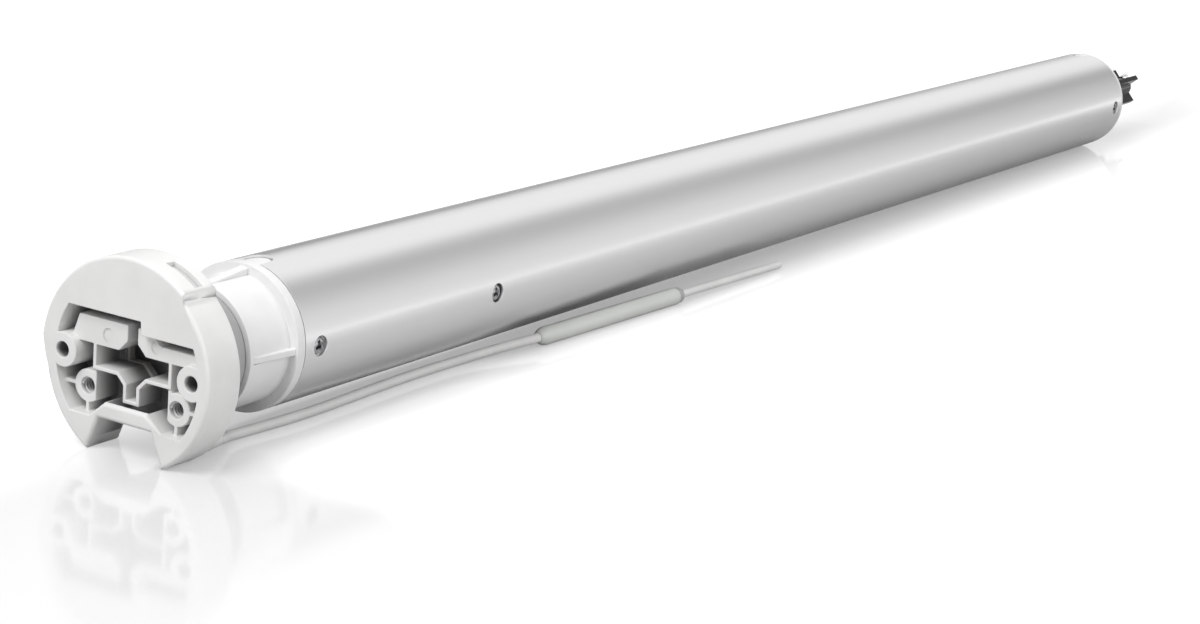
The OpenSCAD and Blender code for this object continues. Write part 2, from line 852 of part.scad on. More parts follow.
// A block that stands on the circuit board
module on_board(x, y, size) {
    translate([x, y - size[1] / 2, board_z + board_t]) cube(size);
}

module terminal_block() {
    color("darkgreen") difference() {
        on_board(tray_x + 6, 0, terminal_size);
        for (y = [-8:4:8])
            translate([tray_x + 5, y, board_z + board_t + 4]) rotate([0, 90, 0]) cylinder(r = 1.2, h = 9);
    }
}

module relays() {
    color("midnightblue") for (y = [-7.5, 7.5]) on_board(relays_x, y, relay_size);
}

module power_module() {
    color("black") on_board(power_x, 0, power_size);
}

module board_capacitors() {
    color("darkslategray") for (x = capacitors_x)
        translate([x, 0, board_z + board_t]) cylinder(r = capacitor_size[0], h = capacitor_size[1]);
}

module radio_module() {
    color("steelblue") {
        on_board(radio_x, 0, [radio_len, radio_w, 1]);
        translate([0, 0, 1]) on_board(radio_x + can_inset, 0, [can_w, can_w, can_h]);
    }
}

module run_capacitor() {
    color("lightgray") {
        disc(cradle_x, capacitor_r, capacitor_len);
        for (y = [-5, 5]) along(cradle_x + capacitor_len) translate([y - 3, -0.4, 0]) cube([6, 0.8, 9]);
    }
}

module capacitor_cradle() {
    color("dimgray") difference() {
        hollow(cradle_x + 1, plug_r, capacitor_r + fitted, cradle_len - 4);
        lead_channel(cradle_x, cradle_len);
    }
}

// A channel at the bottom for the motor's leads
module lead_channel(x, len) {
    translate([x - over, -4, -tube_r]) cube([len + 2 * over, 8, tube_r - 16.8]);
}

module motor_leads() {
    wire_r = 0.9;
    start = tray_end - 12;
    color("sienna") for (y = [-2.4, 0, 2.4])
        translate([start, y, -(plug_r - tray_wall) + wire_r + 0.3]) rotate([0, 90, 0])
            cylinder(r = wire_r, h = coil_1_x - 0.3 - start, $fn = 24);
}

// An end shield with a seat for a bearing on the side towards the rotor
module shield(x, seat_at_far_side) {
    seat_x = seat_at_far_side ? x + shield_t - bearing_w - 0.2 : x - over;
    difference() {
        disc(x, plug_r, shield_t);
        disc(x - over, shaft_r + 1, shield_t + 2 * over);
        disc(seat_x, bearing_r + running, bearing_w + over + 0.2);
        for (angle = [30:60:330])
            along(x - over) around(angle) translate([0, vent_ring_r, 0])
                cylinder(r = 3, h = shield_t + 2 * over);
        lead_channel(x, shield_t);
    }
}

module rear_shield() {
    color("darkgray") shield(rear_x, true);
}

module front_shield() {
    color("darkgray") shield(front_x, false);
}

module rear_bearing() {
    color("lightsteelblue")
        hollow(rear_x + shield_t - bearing_w - 0.1, bearing_r, shaft_r + running, bearing_w);
}

module front_bearing() {
    color("lightsteelblue") hollow(front_x + 0.1, bearing_r, shaft_r + running, bearing_w);
}

// Six bars on the stator's slot circle
module slot_bars(r) {
    for (angle = [0:60:300])
        along(stator_x - over) around(angle) translate([0, stator_slot_ring_r, 0])
            cylinder(r = r, h = stator_len + 2 * over);
}

module stator_core() {
    color("slategray") difference() {
        hollow(stator_x, plug_r, rotor_r + air_gap, stator_len);
        slot_bars(stator_slot_r);
    }
}

module stator_windings() {
    outer_r = stator_slot_ring_r + end_turn_w / 2;
    color("chocolate") {
        for (x = [coil_1_x, coil_2_x]) hollow(x, outer_r, outer_r - end_turn_w, end_turn_len);
        slot_bars(stator_slot_r - fitted);
    }
}

module rotor_core() {
    color("darkslategray") hollow(stator_x, rotor_r, shaft_r, stator_len);
}

// Involute function, in degrees
function inv(a) = tan(a) * 180 / PI - a;

// Half the angle of a tooth at radius r
function half_tooth(z, r, thin) =
    let (rp = z * gear_m / 2, rb = rp * cos(gear_pa))
    (PI * gear_m / 2 - thin) / (2 * rp) * 180 / PI + inv(gear_pa) - inv(acos(min(rb / r, 1)));

// Outline of a gear with z teeth, whose first tooth is on the X axis
function gear_points(z, add, ded, thin, steps = 3) =
    let (rp = z * gear_m / 2, root = rp - ded, tip = rp + add)
    let (low = max(root, rp * cos(gear_pa) + 0.01))
    let (radii = [for (k = [0:steps]) low + (tip - low) * k / steps])
    [for (i = [0:z - 1]) each concat(
        low > root + 0.02 ? [polar(root, i * 360 / z - half_tooth(z, low, thin))] : [],
        [for (r = radii) polar(r, i * 360 / z - half_tooth(z, r, thin))],
        [for (k = [steps:-1:0]) polar(radii[k], i * 360 / z + half_tooth(z, radii[k], thin))],
        low > root + 0.02 ? [polar(root, i * 360 / z + half_tooth(z, low, thin))] : []
    )];

function polar(r, a) = [r * cos(a), r * sin(a)];

module sun_gear(x, w) {
    along(x) linear_extrude(w) polygon(gear_points(sun_z, addendum, dedendum, thinned));
}

module rotor_shaft() {
    color("silver") {
        disc(rear_x + 4, shaft_r, planet_x[0] - 1 - rear_x - 4);
        sun_gear(planet_x[0] - 1, gear_w + 1);
    }
}

module brake_plate() {
    color("darkgray") hollow(brake_x, plug_r, shaft_r + 1, brake_plate_t);
}

module brake_lining() {
    color("saddlebrown") hollow(lining_x, lining_r, shaft_r, lining_t);
}

module brake_armature() {
    color("gray") hollow(armature_x, plug_r - 0.3, shaft_r + 1, armature_t);
}

// Three cylinders for the brake's springs or their pockets
module spring_set(x, r, len) {
    for (angle = [60:120:300])
        along(x) around(angle) translate([0, spring_ring_r, 0]) cylinder(r = r, h = len);
}

module brake_magnet() {
    color("dimgray") difference() {
        hollow(magnet_x, plug_r, shaft_r + 1, magnet_len);
        spring_set(magnet_x - over, spring_r + 0.2, spring_len + over);
    }
}

module brake_springs() {
    color("silver") spring_set(magnet_x + fitted, spring_r, spring_len - fitted);
}

module gearbox_ring() {
    color("gray") difference() {
        disc(ring_x, plug_r, ring_len);
        disc(ring_x - over, shaft_r + 1.5, ring_wall + 2 * over);
        along(ring_x + ring_wall) linear_extrude(ring_len)
            polygon(gear_points(ring_z, dedendum, ring_addendum, -thinned));
    }
}

module gearbox_cover() {
    color("darkgray") hollow(cover_x + 0.1, plug_r, output_r + running, cover_t);
}

// Places a shape drawn along Z on one planet's axis, at a place along the tube's axis
module at_planet(index, x) {
    rotate([index * planet_step, 0, 0]) translate([0, arm_r, 0]) along(x) children();
}

module planet(stage, index) {
    color("lightgray") at_planet(index, planet_x[stage]) difference() {
        linear_extrude(gear_w) polygon(gear_points(planet_z, addendum, dedendum, thinned));
        translate([0, 0, -over]) cylinder(r = pin_r + pin_gap, h = gear_w + 2 * over);
    }
}

// The near face of a stage's carrier
function carrier_x(stage) = planet_x[stage] + gear_w + 1;

// A carrier's plate with the holes that its three pins are pressed into
module carrier_plate(stage) {
    difference() {
        disc(carrier_x(stage), carrier_r, carrier_t);
        pins(carrier_x(stage) - over, carrier_t);
    }
}

// Three pins at the planets' centres
module pins(x, len) {
    for (index = [0:2]) at_planet(index, x) cylinder(r = pin_r, h = len);
}

module planet_pins(stage) {
    color("silver") pins(planet_x[stage], gear_w + carrier_t);
}

module carrier_with_sun(stage) {
    sun_x = carrier_x(stage) + carrier_t;
    color("darkgray") {
        carrier_plate(stage);
        sun_gear(sun_x, planet_x[stage + 1] + gear_w - sun_x);
    }
}

module output_carrier() {
    color("darkgray") difference() {
        carrier_plate(2);
        disc(carrier_x(2) + carrier_t / 2, tenon_r, carrier_t);
    }
}

module output_shaft() {
    shaft_x = carrier_x(2) + carrier_t;
    star_x = cap_end + shaft_out - star_len;
    color("dimgray") difference() {
        union() {
            disc(carrier_x(2) + carrier_t / 2, tenon_r, carrier_t);
            disc(shaft_x, output_r, star_x - shaft_x);
            disc(star_x - over, star_hub_r, star_len + over);
            along(star_x - over) for (arm = [0:90:270]) around(star_angle + arm)
                translate([-star_arm_t / 2, 0, 0]) cube([star_arm_t, star_r, star_len + over]);
        }
        // Groove for the circlip
        hollow(clip_x, output_r + over, output_r - clip_groove, clip_t + fitted);
    }
}

module output_bearing() {
    color("lightsteelblue") hollow(output_bearing_x, output_bearing_r, output_r + running, output_bearing_w);
}

module circlip() {
    color("silver") difference() {
        hollow(clip_x + fitted / 2, output_r + 1.5, output_r - clip_groove + running, clip_t);
        translate([clip_x - over, -clip_mouth / 2, -2 * output_r])
            cube([3 * over, clip_mouth, 2 * output_r]);
    }
}

head_body();
prog_button();
prog_switch();
mains_inlet();
inlet_pins();
sensor_board();
crown();
crown_magnets();
tube_adapter();
housing_tube();
tube_screws();
end_cap();
antenna_gland();
antenna_lead();
antenna_sleeve();
antenna_tip();
electronics_tray();
main_board();
terminal_block();
relays();
power_module();
board_capacitors();
radio_module();
run_capacitor();
capacitor_cradle();
motor_leads();
rear_shield();
rear_bearing();
stator_core();
stator_windings();
rotor_core();
rotor_shaft();
front_shield();
front_bearing();
brake_plate();
brake_lining();
brake_armature();
brake_magnet();
brake_springs();
gearbox_ring();
gearbox_cover();
planet(0, 0);  // stage_1_planet_a
planet(0, 1);  // stage_1_planet_b
planet(0, 2);  // stage_1_planet_c
carrier_with_sun(0);  // stage_1_carrier
planet(1, 0);  // stage_2_planet_a
planet(1, 1);  // stage_2_planet_b
planet(1, 2);  // stage_2_planet_c
carrier_with_sun(1);  // stage_2_carrier
planet(2, 0);  // stage_3_planet_a
planet(2, 1);  // stage_3_planet_b
planet(2, 2);  // stage_3_planet_c
output_carrier();
planet_pins(0);  // planet_pins_1
planet_pins(1);  // planet_pins_2
planet_pins(2);  // planet_pins_3
output_shaft();
output_bearing();
circlip();
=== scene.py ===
import math

import bmesh
import bpy
from mathutils import Matrix, Vector


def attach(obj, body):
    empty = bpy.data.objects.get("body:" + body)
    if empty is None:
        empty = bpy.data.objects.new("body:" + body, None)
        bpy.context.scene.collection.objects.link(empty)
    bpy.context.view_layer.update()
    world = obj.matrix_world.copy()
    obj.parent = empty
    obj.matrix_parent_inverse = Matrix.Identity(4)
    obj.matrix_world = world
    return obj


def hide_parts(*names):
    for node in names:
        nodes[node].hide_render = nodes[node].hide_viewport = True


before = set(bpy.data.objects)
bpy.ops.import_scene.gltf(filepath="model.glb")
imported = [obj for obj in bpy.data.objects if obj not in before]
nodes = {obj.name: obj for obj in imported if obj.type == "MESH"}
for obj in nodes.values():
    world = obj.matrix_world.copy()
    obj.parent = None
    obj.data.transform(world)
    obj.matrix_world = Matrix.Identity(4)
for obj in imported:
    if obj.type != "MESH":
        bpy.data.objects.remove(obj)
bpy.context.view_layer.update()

MM = 0.001

# Camera, at the photograph's viewing angle: angles in degrees, place and lens in mm, clipping in metres
AZIMUTH, ELEVATION, ROLL = -59.29, 14.56, 4.7
CAMERA_PLACE = (-560.57, -489.98, 218.57)
SENSOR_WIDTH, FOCAL_LENGTH = 36, 79.49
CLIP_START, CLIP_END = 0.01, 50


def make_camera():
    azimuth, elevation, roll = (math.radians(x) for x in (AZIMUTH, ELEVATION, ROLL))
    back = Vector((math.sin(azimuth) * math.cos(elevation), -math.cos(azimuth) * math.cos(elevation),
                   math.sin(elevation)))
    right = Vector((math.cos(azimuth), math.sin(azimuth), 0))
    up = back.cross(right)
    x_axis = math.cos(roll) * right + math.sin(roll) * up
    y_axis = -math.sin(roll) * right + math.cos(roll) * up
    data = bpy.data.cameras.new("camera")
    data.sensor_width, data.lens = SENSOR_WIDTH, FOCAL_LENGTH
    data.clip_start, data.clip_end = CLIP_START, CLIP_END
    cam = bpy.data.objects.new("camera", data)
    turn = Matrix((x_axis, y_axis, back)).transposed().to_4x4()
    cam.matrix_world = Matrix.Translation(Vector(CAMERA_PLACE) * MM) @ turn
    bpy.context.scene.collection.objects.link(cam)
    bpy.context.scene.camera = cam


make_camera()


# Node helpers
def math_node(tree, operation, a, b):
    """The result of a math node on two values, each of which is a socket or a plain number."""
    node = tree.nodes.new("ShaderNodeMath")
    node.operation = operation
    for socket, value in zip(node.inputs, (a, b)):
        if isinstance(value, (int, float)):
            socket.default_value = value
        else:
            tree.links.new(value, socket)
    return node.outputs["Value"]


def ramp_node(tree, value, low, high, start=0, end=1):
    """A value that runs smoothly from start to end while the given one runs from low to high."""
    node = tree.nodes.new("ShaderNodeMapRange")
    node.interpolation_type = "SMOOTHSTEP"
    for key, number in (("From Min", low), ("From Max", high), ("To Min", start), ("To Max", end)):
        node.inputs[key].default_value = number
    tree.links.new(value, node.inputs["Value"])
    return node.outputs["Result"]


def vector_node(tree, operation, vector, other=None):
    """A vector node on a linked vector and, where it needs one, a plain second vector."""
    node = tree.nodes.new("ShaderNodeVectorMath")
    node.operation = operation
    tree.links.new(vector, node.inputs[0])
    if other is not None:
        node.inputs[1].default_value = other
    return node


def object_axes(tree):
    """The object's own coordinates, whole and one by one."""
    coords = tree.nodes.new("ShaderNodeTexCoord").outputs["Object"]
    axes = tree.nodes.new("ShaderNodeSeparateXYZ")
    tree.links.new(coords, axes.inputs["Vector"])
    return coords, axes.outputs


# Materials
class Shader:
    """A Principled material with helpers that add procedural detail."""

    # The part of a texture's values that is stretched to its full range
    TEXTURE_LOW, TEXTURE_HIGH = 0.3, 0.7

    def __init__(self, name, color, rough=0.5, metal=0.0, **sockets):
        self.mat = bpy.data.materials.new(name)
        self.mat.use_nodes = True
        self.tree = self.mat.node_tree
        self.bsdf = self.tree.nodes["Principled BSDF"]
        self.color = color
        self.bsdf.inputs["Base Color"].default_value = (*color, 1)
        self.bsdf.inputs["Roughness"].default_value = rough
        self.bsdf.inputs["Metallic"].default_value = metal
        for key, value in sockets.items():
            self.bsdf.inputs[key.replace("_", " ")].default_value = value
        self.coords = self.tree.nodes.new("ShaderNodeTexCoord")
        self.height = None

    def link(self, a, b):
        self.tree.links.new(a, b)

    def noise(self, scale, detail=3, stretch=(1, 1, 1)):
        mapping = self.tree.nodes.new("ShaderNodeMapping")
        mapping.inputs["Scale"].default_value = stretch
        self.link(self.coords.outputs["Object"], mapping.inputs["Vector"])
        node = self.tree.nodes.new("ShaderNodeTexNoise")
        node.inputs["Scale"].default_value = scale
        node.inputs["Detail"].default_value = detail
        self.link(mapping.outputs["Vector"], node.inputs["Vector"])
        return node.outputs["Fac"]

    def wave(self, scale, direction="X", distortion=0.0):
        node = self.tree.nodes.new("ShaderNodeTexWave")
        node.bands_direction = direction
        node.inputs["Scale"].default_value = scale
        node.inputs["Distortion"].default_value = distortion
        self.link(self.coords.outputs["Object"], node.inputs["Vector"])
        return node.outputs["Fac"]

    def span(self, value, low, high):
        node = self.tree.nodes.new("ShaderNodeMapRange")
        for key, number in (("From Min", self.TEXTURE_LOW), ("From Max", self.TEXTURE_HIGH),
                            ("To Min", low), ("To Max", high)):
            node.inputs[key].default_value = number
        self.link(value, node.inputs["Value"])
        return node.outputs["Result"]

    def vary_color(self, value, other, amount=1.0):
        mix = self.tree.nodes.new("ShaderNodeMix")
        mix.data_type = "RGBA"
        mix.inputs["A"].default_value = (*self.color, 1)
        mix.inputs["B"].default_value = (*other, 1)
        self.link(self.span(value, 0, amount), mix.inputs["Factor"])
        self.link(mix.outputs["Result"], self.bsdf.inputs["Base Color"])

    def vary_rough(self, value, low, high):
        self.link(self.span(value, low, high), self.bsdf.inputs["Roughness"])

    def bump(self, value, strength, distance):
        """Adds bumps to those already there; the distance is in mm."""
        node = self.tree.nodes.new("ShaderNodeBump")
        node.inputs["Strength"].default_value = strength
        node.inputs["Distance"].default_value = distance * MM
        self.link(value, node.inputs["Height"])
        if self.height is not None:
            self.link(self.height, node.inputs["Normal"])
        self.height = node.outputs["Normal"]
        self.link(self.height, self.bsdf.inputs["Normal"])


def plastic(name, color, rough=0.42, grain=0.25, shade=0.93):
    s = Shader(name, color, rough)
    s.vary_color(s.noise(scale=90, detail=4), tuple(c * shade for c in color))
    fine = s.noise(scale=2600, detail=2)
    s.vary_rough(fine, low=rough - 0.05, high=rough + 0.06)
    s.bump(fine, strength=grain, distance=0.03)
    s.bump(s.noise(scale=160, detail=2), strength=0.12, distance=0.12)
    return s.mat


# The head's bores, in mm: how far the centre is from the middle, its height, the radius, the mouth's depth
PLAIN_BORE = (24.4, 0.6, 2.4, 0.2)
THREADED_BORE = (16.9, -9.4, 2.6, 3.3)
# Where shade is painted into the head's plastic, in the recess, on the neck and in the bores: pairs of
# places in mm, along the axis or out from it
RECESS_DEPTH, RECESS_BACK, RECESS_WALL = (2.5, 12), (13.2, 14), (27.0, 27.6)
NECK_START, NECK_SURFACE, NECK_SHADE_SHARE = (14.2, 15.2), (19.8, 20.4), 0.67
BORE_WALL, BORE_DEPTH = (0.05, 0.25), 2


def plastic_with_painted_shade(name, color, painted_shade_color):
    """Moulded plastic with painted shade: darker towards the bottom of the recess, in the bores and on the
    neck.
    """
    mat = plastic(name, color)
    tree = mat.node_tree
    base_color = tree.nodes["Principled BSDF"].inputs["Base Color"]
    coords, axes = object_axes(tree)
    x = axes["X"]
    across = vector_node(tree, "MULTIPLY", coords, (0, 1, 1)).outputs["Vector"]
    radius = vector_node(tree, "LENGTH", across).outputs["Value"]

    def ramp(value, limits, start, end):
        return ramp_node(tree, value, limits[0] * MM, limits[1] * MM, start, end)

    def both(a, b):
        return math_node(tree, "MULTIPLY", a, b)

    recess = both(ramp(x, RECESS_DEPTH, 0, 1), ramp(x, RECESS_BACK, 1, 0))
    recess = both(recess, ramp(radius, RECESS_WALL, 1, 0))
    neck = both(ramp(x, NECK_START, 0, NECK_SHADE_SHARE), ramp(radius, NECK_SURFACE, 1, 0))
    share = math_node(tree, "MAXIMUM", recess, neck)
    for offset, z, bore, mouth in (PLAIN_BORE, THREADED_BORE):
        for y in (-offset, offset):
            reach = vector_node(tree, "DISTANCE", across, (0, y * MM, z * MM)).outputs["Value"]
            within = ramp(reach, (bore + BORE_WALL[0], bore + BORE_WALL[1]), 1, 0)
            inside = both(ramp(x, (mouth, mouth + BORE_DEPTH), 0, 1), within)
            share = math_node(tree, "MAXIMUM", share, inside)
    mix = tree.nodes.new("ShaderNodeMix")
    mix.data_type = "RGBA"
    mix.inputs["B"].default_value = (*painted_shade_color, 1)
    tree.links.new(share, mix.inputs["Factor"])
    tree.links.new(base_color.links[0].from_socket, mix.inputs["A"])
    tree.links.new(mix.outputs["Result"], base_color)
    return mat


def metal(name, color, rough=0.3, grain=0.2, stretch=(1, 1, 1), scale=1800, shade=0.85, spread=0.2):
    s = Shader(name, color, rough, metal=1.0)
    streaks = s.noise(scale, stretch=stretch)
    s.vary_color(s.noise(scale=60, detail=4), tuple(c * shade for c in color), amount=0.8)
    s.vary_rough(streaks, low=rough * (1 - spread), high=rough * (1 + spread))
    s.bump(streaks, strength=grain, distance=0.02)
    return s.mat


def laminated():
    s = Shader("stator_laminations", (0.36, 0.37, 0.40), rough=0.38, metal=1.0)
    layers = s.wave(scale=1000)
    s.vary_color(layers, (0.24, 0.25, 0.28))
    s.bump(layers, strength=0.5, distance=0.08)
    return s.mat


def copper():
    s = Shader("enamelled_copper", (0.66, 0.25, 0.09), rough=0.26, metal=0.9,
               Coat_Weight=0.5, Coat_Roughness=0.15)
    s.vary_color(s.noise(scale=700), (0.45, 0.14, 0.05))
    s.bump(s.noise(scale=900, detail=2), strength=0.3, distance=0.05)
    return s.mat


def gold():
    s = Shader("pin_metal", (0.78, 0.56, 0.22), rough=0.2, metal=1.0)
    s.vary_rough(s.noise(scale=1500, detail=2), low=0.15, high=0.28)
    return s.mat


def circuit():
    s = Shader("circuit_board", (0.015, 0.13, 0.05), rough=0.28, Coat_Weight=0.4, Coat_Roughness=0.1)
    s.vary_color(s.wave(scale=260, distortion=6.0), (0.03, 0.22, 0.09))
    s.bump(s.wave(scale=260, direction="Y", distortion=5.0), strength=0.3, distance=0.05)
    return s.mat


def sleeve_plastic():
    s = Shader("antenna_sleeve", (0.70, 0.715, 0.69), rough=0.28, Coat_Weight=0.3, Coat_Roughness=0.2)
    s.vary_color(s.noise(scale=60, detail=4, stretch=(0.25, 1, 1)), (0.58, 0.60, 0.57))
    s.bump(s.noise(scale=120, stretch=(0.3, 1, 1)), strength=0.3, distance=0.15)
    return s.mat


MATERIALS = {
    # The head's plastic carries painted shade in its recess, in its bores and on its neck
    "head": plastic_with_painted_shade("head_plastic", (0.80, 0.80, 0.79), painted_shade_color=(0.19, 0.19, 0.19)),
    "crown": plastic("crown_plastic", (0.82, 0.82, 0.82), rough=0.36),
    # The button's plastic is a darker grey than the head's, partly as painted shade for the button sunk in
    # its slot
    "button": plastic("button_plastic", (0.60, 0.60, 0.60), rough=0.38),
    "dark": plastic("dark_plastic", (0.05, 0.05, 0.055), rough=0.45),
    "tube": metal("tube_metal", (0.86, 0.86, 0.86), rough=0.31, grain=0.004, stretch=(0.01, 1, 1),
                  scale=1500, shade=0.99, spread=0.04),
    "screw": metal("screw_metal", (0.45, 0.45, 0.46), rough=0.1, grain=0.1),
    "shaft": metal("shaft_metal", (0.045, 0.045, 0.047), rough=0.2, grain=0.3, stretch=(0.2, 1, 1),
                   scale=900, shade=0.6),
    "steel": metal("bright_steel", (0.62, 0.62, 0.63), rough=0.22, grain=0.15),
    "gear": metal("gear_steel", (0.50, 0.49, 0.47)),
    "cast": metal("cast_alloy", (0.58, 0.58, 0.59), rough=0.45, grain=0.5, scale=700),
    "sheet": metal("laminated_steel", (0.36, 0.37, 0.40), rough=0.38, grain=0.3),
    "can": metal("capacitor_can", (0.66, 0.67, 0.70), rough=0.25, grain=0.15),
    "cord": plastic("cord_sheath", (0.76, 0.76, 0.75), rough=0.35, grain=0.12),
    "sleeve": sleeve_plastic(),
    "sleeve_band": plastic("sleeve_band", (0.40, 0.41, 0.40), rough=0.3),
    "lining": plastic("lining_felt", (0.24, 0.12, 0.06), rough=0.9, grain=1.0, shade=0.6),
    "blue": plastic("relay_blue", (0.02, 0.06, 0.22), rough=0.35),
    "black": plastic("module_black", (0.02, 0.02, 0.022), rough=0.4),
    "green": plastic("terminal_green", (0.03, 0.22, 0.09), rough=0.4),
    "wire": plastic("wire_sheath", (0.30, 0.10, 0.05), rough=0.35),
    "stator": laminated(),
    "copper": copper(),
    "gold": gold(),
    "circuit": circuit(),
}

# The look of each node of the part; of those not named, planet pins are steel and wheels are gear steel
LOOKS = {
    "head_body": "head", "prog_button": "button", "prog_switch": "black", "mains_inlet": "head",
    "inlet_pins": "gold", "sensor_board": "circuit", "crown": "crown", "crown_magnets": "steel",
    "tube_adapter": "crown", "housing_tube": "tube", "tube_screws": "screw", "end_cap": "crown",
    "antenna_gland": "cord", "antenna_lead": "cord", "antenna_sleeve": "sleeve", "antenna_tip": "cord",
    "electronics_tray": "dark", "main_board": "circuit", "terminal_block": "green", "relays": "blue",
    "power_module": "black", "board_capacitors": "can", "radio_module": "can", "run_capacitor": "can",
    "capacitor_cradle": "dark", "motor_leads": "wire", "rear_shield": "cast", "rear_bearing": "steel",
    "stator_core": "stator", "stator_windings": "copper", "rotor_core": "sheet", "rotor_shaft": "steel",
    "front_shield": "cast", "front_bearing": "steel", "brake_plate": "cast", "brake_lining": "lining",
    "brake_armature": "sheet", "brake_magnet": "black", "brake_springs": "steel", "gearbox_ring": "gear",
    "gearbox_cover": "cast", "output_carrier": "gear", "output_shaft": "shaft", "output_bearing": "steel",
    "circlip": "steel",
}
for node_name, node in nodes.items():
    look = LOOKS.get(node_name, "steel" if "pins" in node_name else "gear")
    node.data.materials.clear()
    node.data.materials.append(MATERIALS[look])


# Pieces
def add_piece(name, bm, body, looks, *replaced, smooth=True):
    """A visible piece that rides on a body; a face's material index picks one of the looks."""
    mesh = bpy.data.meshes.new(name)
    bm.normal_update()
    bm.to_mesh(mesh)
    bm.free()
    for polygon in mesh.polygons:
        polygon.use_smooth = smooth
    for look in looks:
        mesh.materials.append(MATERIALS[look])
    piece = bpy.data.objects.new(name, mesh)
    bpy.context.scene.collection.objects.link(piece)
    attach(piece, body)
    if replaced:
        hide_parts(*replaced)
    return piece


# Edges sharper than this, in degrees, are rounded, fine or wide, in these numbers of steps
SHARP_EDGE, FINE_STEPS, WIDE_STEPS = 25, 2, 4
# Points this near each other, in metres, are one; faces that turn less than this, in degrees, are one
SAME_POINT, FLAT_TURN = 2e-6, 0.4
NORMAL_WEIGHT = 60


def round_edges(bm, width, segments, wanted):
    edges = [e for e in bm.edges if e.is_manifold and e.calc_face_angle(0) > math.radians(SHARP_EDGE)
             and wanted((e.verts[0].co + e.verts[1].co) / 2 / MM)]
    bmesh.ops.bevel(bm, geom=edges, offset=width * MM, offset_type="OFFSET", segments=segments,
                    profile=0.5, affect="EDGES", clamp_overlap=False, loop_slide=True)


def softened(node_name, piece_name, body, look, width, left_sharp=None, wide=None):
    """A CAD node's own form with its sharp edges rounded, the wide ones first; widths in mm."""
    bm = bmesh.new()
    bm.from_mesh(nodes[node_name].data)
    bmesh.ops.remove_doubles(bm, verts=bm.verts, dist=SAME_POINT)
    bmesh.ops.dissolve_limit(bm, angle_limit=math.radians(FLAT_TURN), verts=bm.verts, edges=bm.edges,
                             use_dissolve_boundaries=False)
    if wide:
        wide_width, is_wide = wide
        round_edges(bm, wide_width, WIDE_STEPS, is_wide)
        round_edges(bm, width, FINE_STEPS, lambda p: not is_wide(p) and not left_sharp(p))
    else:
        round_edges(bm, width, FINE_STEPS, lambda p: True)
    piece = add_piece(piece_name, bm, body, [look], node_name)
    normal = piece.modifiers.new("normals", "WEIGHTED_NORMAL")
    normal.weight, normal.keep_sharp = NORMAL_WEIGHT, False


def frame_at(a, b):
    """Two unit vectors across the line from a to b, and the unit vector along it."""
    along = (b - a).normalized()
    side = along.cross(Vector((0, 0, 1))).normalized()
    return side, side.cross(along), along


def ring(bm, centre, radius, side, up, sides):
    """A circle of points, or the centre alone where there is no radius; in metres."""
    if radius <= 0:
        return [bm.verts.new(centre)]
    turns = [2 * math.pi * k / sides for k in range(sides)]
    return [bm.verts.new(centre + radius * (math.cos(t) * side + math.sin(t) * up)) for t in turns]


def join(bm, first, second, material=0):
    """Faces between two closed rows of points, one of which may be a single point."""
    for k in range(max(len(first), len(second))):
        corners = (first[k % len(first)], first[(k + 1) % len(first)],
                   second[(k + 1) % len(second)], second[k % len(second)])
        face = bm.faces.new(tuple(dict.fromkeys(corners)))
        face.material_index = material


def lathe(bm, a, b, outline, sides=48, material=0):
    """Turns an outline of (distance from a, radius) pairs, in mm, round the line from a to b."""
    a, b = Vector(a) * MM, Vector(b) * MM
    side, up, along = frame_at(a, b)
    rings = [ring(bm, a + along * distance * MM, radius * MM, side, up, sides)
             for distance, radius in outline]
    for first, second in zip(rings, rings[1:]):
        join(bm, first, second, material)
    bmesh.ops.recalc_face_normals(bm, faces=bm.faces)
    return bm


def sweep(bm, path, radii, sides=24):
    """A round bar with closed ends along a path of points, with a radius at each, in metres."""
    rings = []
    for i, (point, radius) in enumerate(zip(path, radii)):
        side, up, _ = frame_at(path[max(i - 1, 0)], path[min(i + 1, len(path) - 1)])
        rings.append(ring(bm, point, radius, side, up, sides))
    for first, second in zip(rings, rings[1:]):
        join(bm, first, second)
    for end in (rings[0], rings[-1]):
        bm.faces.new(end)
    bmesh.ops.recalc_face_normals(bm, faces=bm.faces)
    return bm


# Antenna, in mm: the strain relief, and the lead's route as in the part, from its end to the sleeve
GLAND_START, GLAND_END = (14.4, -15.6, -23.2), (24, -15.6, -23.2)
ROUTE = [
    GLAND_END, (28, -14.2, -24.1), (33, -11.8, -25.1), (40, -11.2, -25.6),
    (50, -11.9, -25.6), (62, -12.7, -25.5), (76, -13, -25.4), (92, -12.6, -25.3),
    (108, -12, -25.2), (124, -11.7, -25.1), (140, -11.9, -25), (154, -12.5, -24.9),
    (166, -13.9, -24.4), (176, -15.8, -23.8), (186, -17.7, -23.3), (192, -18.6, -23.1),
]
SLEEVE_START, SLEEVE_END, TIP_END = ROUTE[-1], (283, -22.6, -22.6), (361, -24, -23.4)
LEAD_R, SLEEVE_R, TIP_R = 1.65, 3.3, 1.5
ROUTE_STEPS, SLEEVE_STEPS, TIP_STEPS = 6, 10, 12
# The tip's rounding: distances back from its end, and shares of its radius
TIP_ROUND = [(1.5, 1.0), (1.0, 0.94), (0.5, 0.74), (0.15, 0.43), (0.0, 0.12)]
# The sleeve's dark band, and the wrinkles between two distances from its ends
BAND_WIDTH, WRINKLES, WRINKLE_DEPTH, WRINKLES_IN, WRINKLES_OUT = 3.5, 14, 0.04, 4, 4.5
# The strain relief's rings: distances from its start, and radii
GLAND_OUTLINE = [
    (0, 0), (0, 2.6), (0.2, 2.7), (1.3, 2.7), (1.5, 2.55), (1.9, 2.15), (2.3, 2.5), (3.2, 2.45), (3.4, 2.1),
    (3.8, 2.4), (4.8, 2.35), (5, 2.0), (5.4, 2.25), (6.4, 2.15), (6.6, 1.9), (7, 2.1), (8.1, 2.0),
    (8.3, 1.8), (8.7, 1.95), (9.5, 1.9), (9.6, LEAD_R), (9.6, 0),
]


